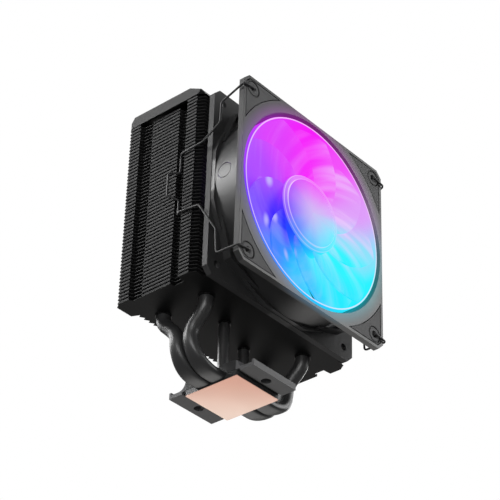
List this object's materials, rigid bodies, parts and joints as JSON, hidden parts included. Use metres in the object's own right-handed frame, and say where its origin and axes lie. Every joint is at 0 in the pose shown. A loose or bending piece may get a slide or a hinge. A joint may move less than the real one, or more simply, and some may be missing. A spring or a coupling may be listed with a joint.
{
  "type": "cpu tower cooler",
  "caption": "Processor tower cooler: a black fin stack on bent heat pipes and a copper contact plate, with a lit square fan held by wire clips.",
  "frame": {"origin": "centre of the copper contact face, which rests on the processor", "axes": "+Z away from the processor, up through the stack; +Y the way the fan blows, so the fan is on the -Y side; +X to the right seen from the fan"},
  "size_m": [0.1344, 0.0867, 0.1649],
  "materials": {
    "copper": "fine machined",
    "black_nickel": "satin black",
    "bracket": "dark anodised",
    "pipe": "satin black",
    "fin": "black anodised",
    "cover": "black",
    "frame_plastic": "fine texture",
    "pad_rubber": "soft matte",
    "lit_plastic": "translucent frosted",
    "steel": "bright",
    "magnet": "matte",
    "plastic_white": "matte",
    "bronze": "sintered",
    "copper_wire": "enamelled",
    "board": "solder mask",
    "led": "lens",
    "wire": "blackened spring wire"
  },
  "bodies": {
    "cooler": {"contact_plate": "copper", "pipe_saddle": "black_nickel", "mounting_wing_front": "bracket", "mounting_wing_rear": "bracket", "heat_pipe_front": "pipe", "heat_pipe_rear": "pipe", "centre_pipe_left": "pipe", "centre_pipe_right": "pipe", "bottom_fin": "fin", "lower_fins": "fin", "upper_fins": "fin", "top_cover": "cover", "fan_frame": "frame_plastic", "front_pad_top_left": "pad_rubber", "front_pad_top_right": "pad_rubber", "front_pad_bottom_left": "pad_rubber", "front_pad_bottom_right": "pad_rubber", "rear_pad_top_left": "pad_rubber", "rear_pad_top_right": "pad_rubber", "rear_pad_bottom_left": "pad_rubber", "rear_pad_bottom_right": "pad_rubber", "frame_plug": "frame_plastic", "bearing_sleeve": "bronze", "thrust_pad": "plastic_white", "stator_core": "steel", "coil_carriers": "plastic_white", "stator_coils": "copper_wire", "motor_board": "board", "board_leds": "led"},
    "rotor": {"impeller": "lit_plastic", "hub_cap": "lit_plastic", "rotor_yoke": "steel", "rotor_magnet": "magnet", "rotor_shaft": "steel", "retaining_clip": "plastic_white"},
    "left_clip_body": {"left_clip": "wire"},
    "right_clip_body": {"right_clip": "wire"}
  },
  "joints": [
    {"name": "fan_spin", "type": "hinge", "parent": "cooler", "child": "rotor", "pos_m": [0, -0.0454, 0.0964], "axis": [0, 1, 0], "continuous": true},
    {"name": "left_clip_swing", "type": "hinge", "parent": "cooler", "child": "left_clip_body", "pos_m": [-0.0525, -0.05365, 0.0964], "axis": [0, 0, 1], "range_deg": [0, 30]},
    {"name": "right_clip_swing", "type": "hinge", "parent": "cooler", "child": "right_clip_body", "pos_m": [0.0525, -0.05365, 0.0964], "axis": [0, 0, -1], "range_deg": [0, 30]}
  ]
}
